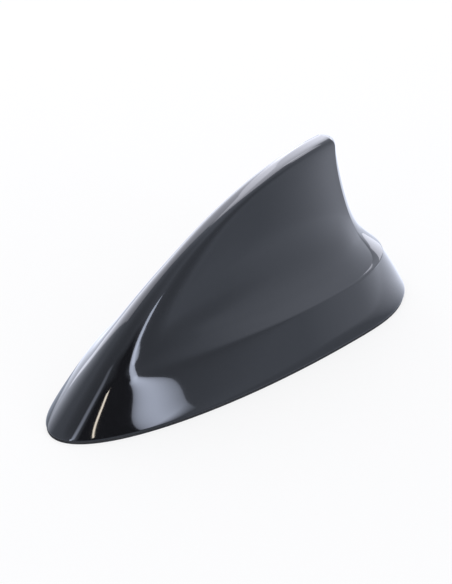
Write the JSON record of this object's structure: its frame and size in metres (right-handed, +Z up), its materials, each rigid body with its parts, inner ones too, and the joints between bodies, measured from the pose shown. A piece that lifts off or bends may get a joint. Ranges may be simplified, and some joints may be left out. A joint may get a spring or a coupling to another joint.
{
  "type": "car roof antenna",
  "caption": "Shark-fin car roof antenna: glossy moulded fin over a die-cast base, with a rubber roof seal and a hollow threaded fixing spigot below.",
  "frame": {"origin": "on the axis of the hollow fixing spigot, in the plane of the roof skin", "axes": "+Z up from the roof, +X towards the tail of the fin, nose towards -X"},
  "size_m": [0.165, 0.067, 0.076],
  "materials": {
    "fin_gloss": "high gloss black lacquer",
    "seal_rubber": "matt moulded rubber",
    "base_casting": "satin as cast",
    "screw_steel": "zinc plated",
    "board_laminate": "solder mask",
    "patch_ceramic": "fired ceramic",
    "contact_brass": "bright",
    "tinned_sheet": "tinned sheet"
  },
  "bodies": {
    "root": {"fin_cover": "fin_gloss", "roof_seal": "seal_rubber", "spigot_seal": "seal_rubber", "base_plate": "base_casting", "fixing_spigot": "screw_steel", "cover_screws": "screw_steel", "circuit_board": "board_laminate", "board_screws": "screw_steel", "satnav_patch": "patch_ceramic", "patch_feed_pin": "contact_brass", "amplifier_shield": "tinned_sheet", "aerial_board": "board_laminate", "aerial_brackets": "contact_brass", "top_load_plate": "tinned_sheet"}
  },
  "joints": []
}
